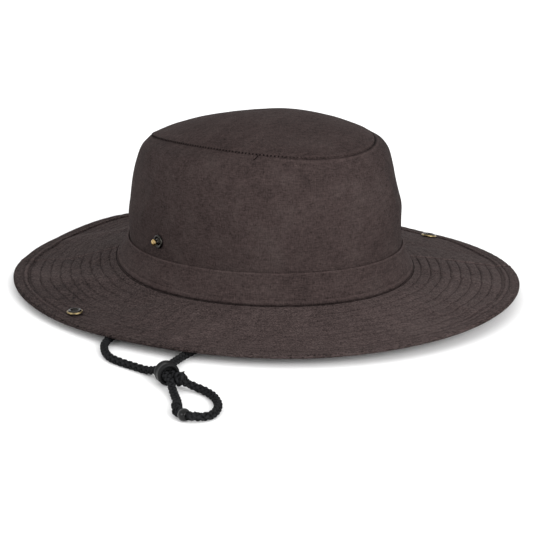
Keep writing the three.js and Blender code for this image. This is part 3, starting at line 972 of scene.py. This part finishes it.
def makeBrim():
    t = brimTurns()
    edge = 1 - brim["roundEdge"] / brim["width"]
    top, topPaintedShading = brimTop(brimShares(), t)
    over, overPaintedShading = brimTop([[0.968]], t)
    last, lastPaintedShading = brimTop([[edge]], t)
    low, lowPaintedShading = brimUnder(np.array([[edge]]), t)
    out = unit(brimPoint(1, t) - brimPoint(0.9, t))
    middle, half = (last + low) / 2, (last[..., 2] - low[..., 2]) / 2
    arcs = []
    for angle in np.radians(brim["edgeArcs"]):
        arc = middle + out * flat * brim["roundEdge"] * math.cos(angle)
        arc[..., 2] = middle[..., 2] + half * math.sin(angle)
        arcs.append(arc)
    under, underPaintedShading = brimUnder(np.array(brim["underRows"])[:, None], t)
    rings = np.concatenate([top, over, last, *arcs, low, under])
    rings[..., 2] = np.maximum(rings[..., 2], 0)
    # painted shade round the rolled edge
    edgePaintedShade = np.tile(lastPaintedShading, (len(arcs), 1)) - 0.55
    paintedShading = np.concatenate([topPaintedShading, overPaintedShading, lastPaintedShading, edgePaintedShade, lowPaintedShading, underPaintedShading])
    ringsPiece("brim_cloth", rings, brimCloth, ["brim"], paintedShading)


def makeBrimStitches():
    # sunk where the rows hardly show
    t = turnsOf(1400)[None]
    slack = 1 - np.minimum(1, roundTheHat(rowBoldness, np.degrees(t[0])))
    up = np.tile(upward, (t.shape[1], 1))
    lines = [(brimTop([[row]], t)[0][0] + up * (0.06 - 0.24 * slack)[:, None], up) for row in brim["rows"]]
    makeStitches("brim_stitches", lines, rowThread, "oilskin_brim")


# Crown
def foldsAt(points):
    degrees = np.degrees(np.arctan2(points[..., 1], points[..., 0]))
    return foldLines(crownFolds, degrees, points[..., 2], 1.55, 1)


def clothWaves(points):
    return sum(depth * wavesAt(points, size, size * 0.37) for size, depth in crown["waves"])


def makeCrownSide():
    t = turnsOf(crown["turnsMade"])[None]
    rows = np.concatenate([np.linspace(0, 3.86, 78), np.linspace(3.88, 3.995, 10), [3.997]])[:, None]
    outer = crownPoint(rows, t)
    run = ringRuns(np.concatenate([outer, crownPoint([[4.0]], t)]))
    fromSeam = (run[-1] - run)[:-1]
    fromBack = apart(np.degrees(t), crown["backSeam"]) * crown["degree"]
    backSeam = bell(fromBack, 0.7) - 0.6 * bell(fromBack - 2.0, 1.4)
    deep = roundTheHat(seamDepth, np.degrees(t))
    calm = np.clip(fromSeam / 9, 0, 1) * np.clip((rows - 0.9) / 0.5, 0, 1)
    lip = crown["lipHeight"] * bell(fromSeam - 2.1, 1.2) - crown["grooveDepth"] * bell(fromSeam, 0.7)
    push = (clothWaves(outer) + foldsAt(outer)) * calm + deep * lip
    push = push - crown["backSeamDepth"] * backSeam * np.clip(fromSeam / 3, 0, 1)
    # painted light on the seam's lip, painted shade in its groove and in the back seam, a painted shadow
    # just above the band, and painted shade by angle
    paintedShading = deep * (0.5 * bell(fromSeam - 2.0, 0.9) - 1.0 * bell(fromSeam, 0.8)) - 0.6 * backSeam
    paintedShading = paintedShading - 0.3 * bell((rows - 1.02) * 28, 2.0) + roundTheHat(crownPaintedShade, np.degrees(t)) - 1
    outer = outer + gridNormals(outer) * push[..., None]
    foot = crownPoint([[0.0]], t) - (0, 0, brim["thickness"])
    # these rows run down, so their normals point in
    inner = crownPoint(np.linspace(3.97, 0, 30)[:, None], t)
    inner = inner + gridNormals(inner) * crown["clothThickness"]
    innerFoot = foot - unit(foot * flat) * crown["clothThickness"]
    rings = np.concatenate([foot, outer, inner, innerFoot])
    plain = np.zeros((1, crown["turnsMade"]))
    paintedShading = np.concatenate([plain, paintedShading, np.zeros(inner.shape[:2]), plain])
    ringsPiece("crown_side_cloth", rings, sideCloth, ["crown_side"], paintedShading)


def makeCrownTip():
    t = turnsOf(crown["turnsMade"])[None]
    shares = np.concatenate([[0.02], np.linspace(0.06, 0.93, 44), np.linspace(0.94, 0.9982, 11), [0.999]])
    top = tipPoint(shares[:, None], t)
    run = ringRuns(np.concatenate([top, tipPoint([[1.0]], t)]))
    fromSeam = (run[-1] - run)[:-1]
    deep = roundTheHat(seamDepth, np.degrees(t))
    push = clothWaves(top * (1, 1, 1.5)) * 0.9 * np.clip(fromSeam / 8, 0, 1)
    push = push + deep * (0.15 * bell(fromSeam - 1.9, 1.1) - crown["grooveDepth"] * bell(fromSeam, 0.7))
    # painted light on the seam's lip, painted shade in its groove
    paintedShading = deep * (0.2 * bell(fromSeam - 1.8, 1.0) - bell(fromSeam, 0.8))
    top = top + facing(gridNormals(top), upward) * push[..., None]
    under = tipPoint(np.linspace(0.985, 0.02, 24)[:, None], t)
    under = under - facing(gridNormals(under), upward) * crown["clothThickness"]
    rings = np.concatenate([top, under])
    count, sides = rings.shape[:2]
    points = np.vstack([rings.reshape(-1, 3), rings[0].mean(axis=0), rings[-1].mean(axis=0)])
    paintedShading = np.concatenate([paintedShading.ravel(), np.zeros(under.shape[0] * sides + 2)])
    spin = np.arange(sides)
    nextSpin = (spin + 1) % sides
    topFan = np.stack([nextSpin, spin, np.full(sides, count * sides)], 1)
    last = (count - 1) * sides
    lowFan = np.stack([last + spin, last + nextSpin, np.full(sides, count * sides + 1)], 1)
    faces = outward(points, ringFaces(count, sides, False), topFan, lowFan)
    makePiece("crown_tip_cloth", points, faces, tipCloth, ["crown_tip"], paintedShading)


def makeTipStitches():
    # sunk below the cloth where the seam closes over them
    t = turnsOf(1200)[None]
    line = tipPoint([[0.992]], t)[0]
    normals = unit(line - (0, ringShapes[4][3], 60))
    deep = roundTheHat(seamDepth, np.degrees(t[0]))[:, None]
    line = line - normals * (0.6 * deep - 0.2)
    size = {"pitch": 2.3, "length": 1.0, "halfWidth": 0.55, "height": 0.3}
    makeStitches("tip_stitches", [(line, normals)], seamThreadAndShade, "oilskin_tip", **size)
    # the thread's loose end, which hangs over the side of the crown
    tail = crownPoint([3.99, 3.9, 3.78, 3.68], np.radians([-138.7, -138.7, -138.8, -139.1]))
    out = unit(tail * flat)
    points, faces = tubeMesh(tail + out * 0.25, out, (0.28, 0.22))
    makePiece("tip_thread_end", points, faces, seamThreadAndShade)


def makeBand():
    t = turnsOf(crown["turnsMade"])[None]
    gap, out = brim["gap"], brim["gap"] + crown["bandThickness"]
    rows = np.concatenate([np.linspace(0.03, 0.9, 30), np.linspace(0.92, 0.995, 7)])[:, None]
    base = crownPoint(rows, t)
    normals = gridNormals(base)
    fromFoot = ringRuns(base)
    fromTop = fromFoot[-1] - fromFoot
    join = apart(np.degrees(t), crown["bandJoin"]) * crown["degree"]
    push = 0.2 * (bell(fromTop - 0.8, 0.9) + bell(fromFoot - 1.2, 0.9) - bell(fromFoot - 2.4, 0.5))
    calm = np.clip(np.minimum(fromTop / 4, fromFoot / 5), 0, 1)
    push = push + 0.35 * clothWaves(base * (1, 1, 1.3)) * calm
    lap = crown["bandLap"]
    push = push + 0.5 * softStep(join) * (np.abs(join) < lap) * np.clip(1 - join / lap, 0, 1)
    # painted light on the folded top edge and just above the foot, painted shade at the foot, in a line
    # above it and at the lap's join
    paintedShading = 0.5 * bell(fromTop, 0.8) + 0.3 * (bell(fromFoot - 1.2, 0.7) - bell(fromFoot, 0.4))
    paintedShading = paintedShading - 0.35 * bell(fromFoot - 2.6, 0.5) - 0.9 * bell(join, 0.5)
    outer = base + normals * (out + push)[..., None]
    topRing = crownPoint([[1.01]], t) + normals[-1:] * (gap + crown["bandThickness"] / 2)
    backRing = crownPoint([[0.995]], t) - normals[-1:] * 0.1  # sewn down, so it closes on the crown
    inner = crownPoint(np.linspace(0.95, 0.03, 10)[:, None], t)
    inner = inner + facing(gridNormals(inner), inner * flat) * gap
    foot = crownPoint([[0.0]], t)
    foot = foot + unit(foot * flat) * (out - 0.1) + (0, 0, 0.04)
    rings = np.concatenate([foot, outer, topRing, backRing, inner])
    # painted light on the band's top edge
    edge = np.full((1, crown["turnsMade"]), 0.5)
    paintedShading = np.concatenate([paintedShading[:1], paintedShading, edge, edge * 0, np.zeros(inner.shape[:2])])
    ringsPiece("band_cloth", rings, bandCloth, ["crown_band"], paintedShading)


def makeBandStitches():
    t = turnsOf(1200)[None]
    lines = []
    for row, sink in ((0.115, 0.05), (0.93, 0.1)):
        line = crownPoint([[row], [row + 0.02]], t)
        normals = gridNormals(line)[0]
        lines.append((line[0] + normals * (brim["gap"] + crown["bandThickness"] - sink), normals))
    makeStitches("band_stitches", lines, rowThread, "oilskin_band", height=0.16)


def makeSeamShadeCord():
    # a thin dark cord laid into the seam where the band meets the brim: painted shade for the dark crevice
    # there
    line = brimTop([[0.022]], turnsOf(900)[None])[0][0]
    out = unit(line * flat)[:, None]
    turn = turnsOf(8)[None, :, None]
    rings = line[:, None] + 0.22 * (np.cos(turn) * out + np.sin(turn) * upward)
    ringsPiece("base_seam_shade_cord", rings, seamThreadAndShade)


# Press studs above the ears and their sockets on the brim
snap = {
    "studHeight": 41,
    "gap": 0.6,
    "socketReach": 138.9,
    "ears": {"right": math.pi - 0.04, "left": 0.01},
    # turned shapes: radius, and height over the cloth
    "flange": [(0.05, 0.5), (2.0, 0.5), (2.7, 0.8), (3.6, 1.15), (4.3, 0.7), (4.4, 0.0), (0.05, 0.0)],
    "neck": [(0.05, 3.6), (1.2, 3.4), (1.2, 1.3), (2.2, 0.9), (2.3, 0.4), (0.05, 0.4)],
    "knob": [(0.05, 4.7), (1.3, 4.65), (2.05, 4.1), (2.15, 3.2), (1.5, 2.5), (0.05, 2.4)],
    "rim": [(3.6, 0.9), (4.4, 1.15), (5.0, 0.7), (5.1, 0.0), (3.6, 0.0), (3.6, 0.9)],
    "well": [
        (0.05, 0.45), (1.9, 0.45), (2.4, 1.5), (3.3, 1.9), (4.2, 1.35), (4.4, 0.6), (3.7, 0.1), (0.05, 0.1),
    ],
}


def surfaceNormal(surface, s, t):
    step = 0.01
    along = surface(s + step, t) - surface(s - step, t)
    around = surface(s, t + step) - surface(s, t - step)
    return unit(np.cross(around, along))


def snapPiece(shape, kind, side, sides, place, axis, material, replaced=()):
    profile = softCorners(snap[shape])
    closed = shape == "rim"
    rings = turned(profile[:-1] if closed else profile, sides, place, axis)
    ringsPiece(f"{kind}_{shape}_{side}", rings, material, replaced, closed=closed)


def makeSnaps():
    for side, turn in snap["ears"].items():
        rows = np.linspace(1, 3, 400)
        row = float(rows[np.abs(crownPoint(rows, turn)[:, 2] - snap["studHeight"]).argmin()])
        out = facing(surfaceNormal(crownPoint, row, turn), crownPoint(row, turn) * flat)
        place = crownPoint(row, turn) + out * snap["gap"]
        snapPiece("flange", "stud", side, 48, place, out, darkBrass)
        snapPiece("neck", "stud", side, 32, place, out, darkBrass)
        snapPiece("knob", "stud", side, 40, place, out, agedBrass, [f"snap_stud_{side}"])
        inner, outer = abs(brimPoint(0, turn)[0]), abs(brimPoint(1, turn)[0])
        share = (snap["socketReach"] - inner) / (outer - inner)
        up = facing(surfaceNormal(brimPoint, share, turn), upward)
        seat = brimPoint(share, turn) + up * snap["gap"]
        snapPiece("rim", "socket", side, 48, seat, up, dullBrass)
        snapPiece("well", "socket", side, 48, seat, up, darkBrass, [f"snap_socket_{side}"])


def finishHiddenParts():
    # these keep their solids and get the finishes
    for part, material in {"snap_post": agedBrass, "snap_cap": agedBrass, "cord_tab": sideCloth}.items():
        for side in snap["ears"]:
            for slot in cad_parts[f"{part}_{side}"].material_slots:
                slot.material = material


def makeStudio():
    half = studio["floorSize"] / 2 * metre
    mesh = bpy.data.meshes.new("studio_floor")
    corners = [(x * half, y * half, 0) for x, y in ((-1, -1), (1, -1), (1, 1), (-1, 1))]
    mesh.from_pydata(corners, [], [(0, 1, 2, 3)])
    look = {"Base Color": studio["floorColour"] + (1,), "Roughness": 0.9, "Specular IOR Level": 0.1}
    mesh.materials.append(Finish("studioFloor", look).material)
    floor = bpy.data.objects.new("studio_floor", mesh)
    show(floor)
    for name in ("key", "fill"):
        makeLight(name, *studio[name])
    world = bpy.data.worlds.new("studio")
    world.use_nodes = True
    sky = world.node_tree.nodes["Background"]
    sky.inputs["Color"].default_value = studio["worldColour"] + (1,)
    sky.inputs["Strength"].default_value = studio["worldStrength"]
    bpy.context.scene.world = world
    bpy.context.scene.view_settings.view_transform = "Standard"


makeBrim()
makeBrimStitches()
print("brim made")
makeCrownSide()
makeCrownTip()
makeTipStitches()
makeBand()
makeBandStitches()
makeSeamShadeCord()
print("crown made")
makeSnaps()
finishHiddenParts()
print("snaps made")
makeStudio()
print("studio made")
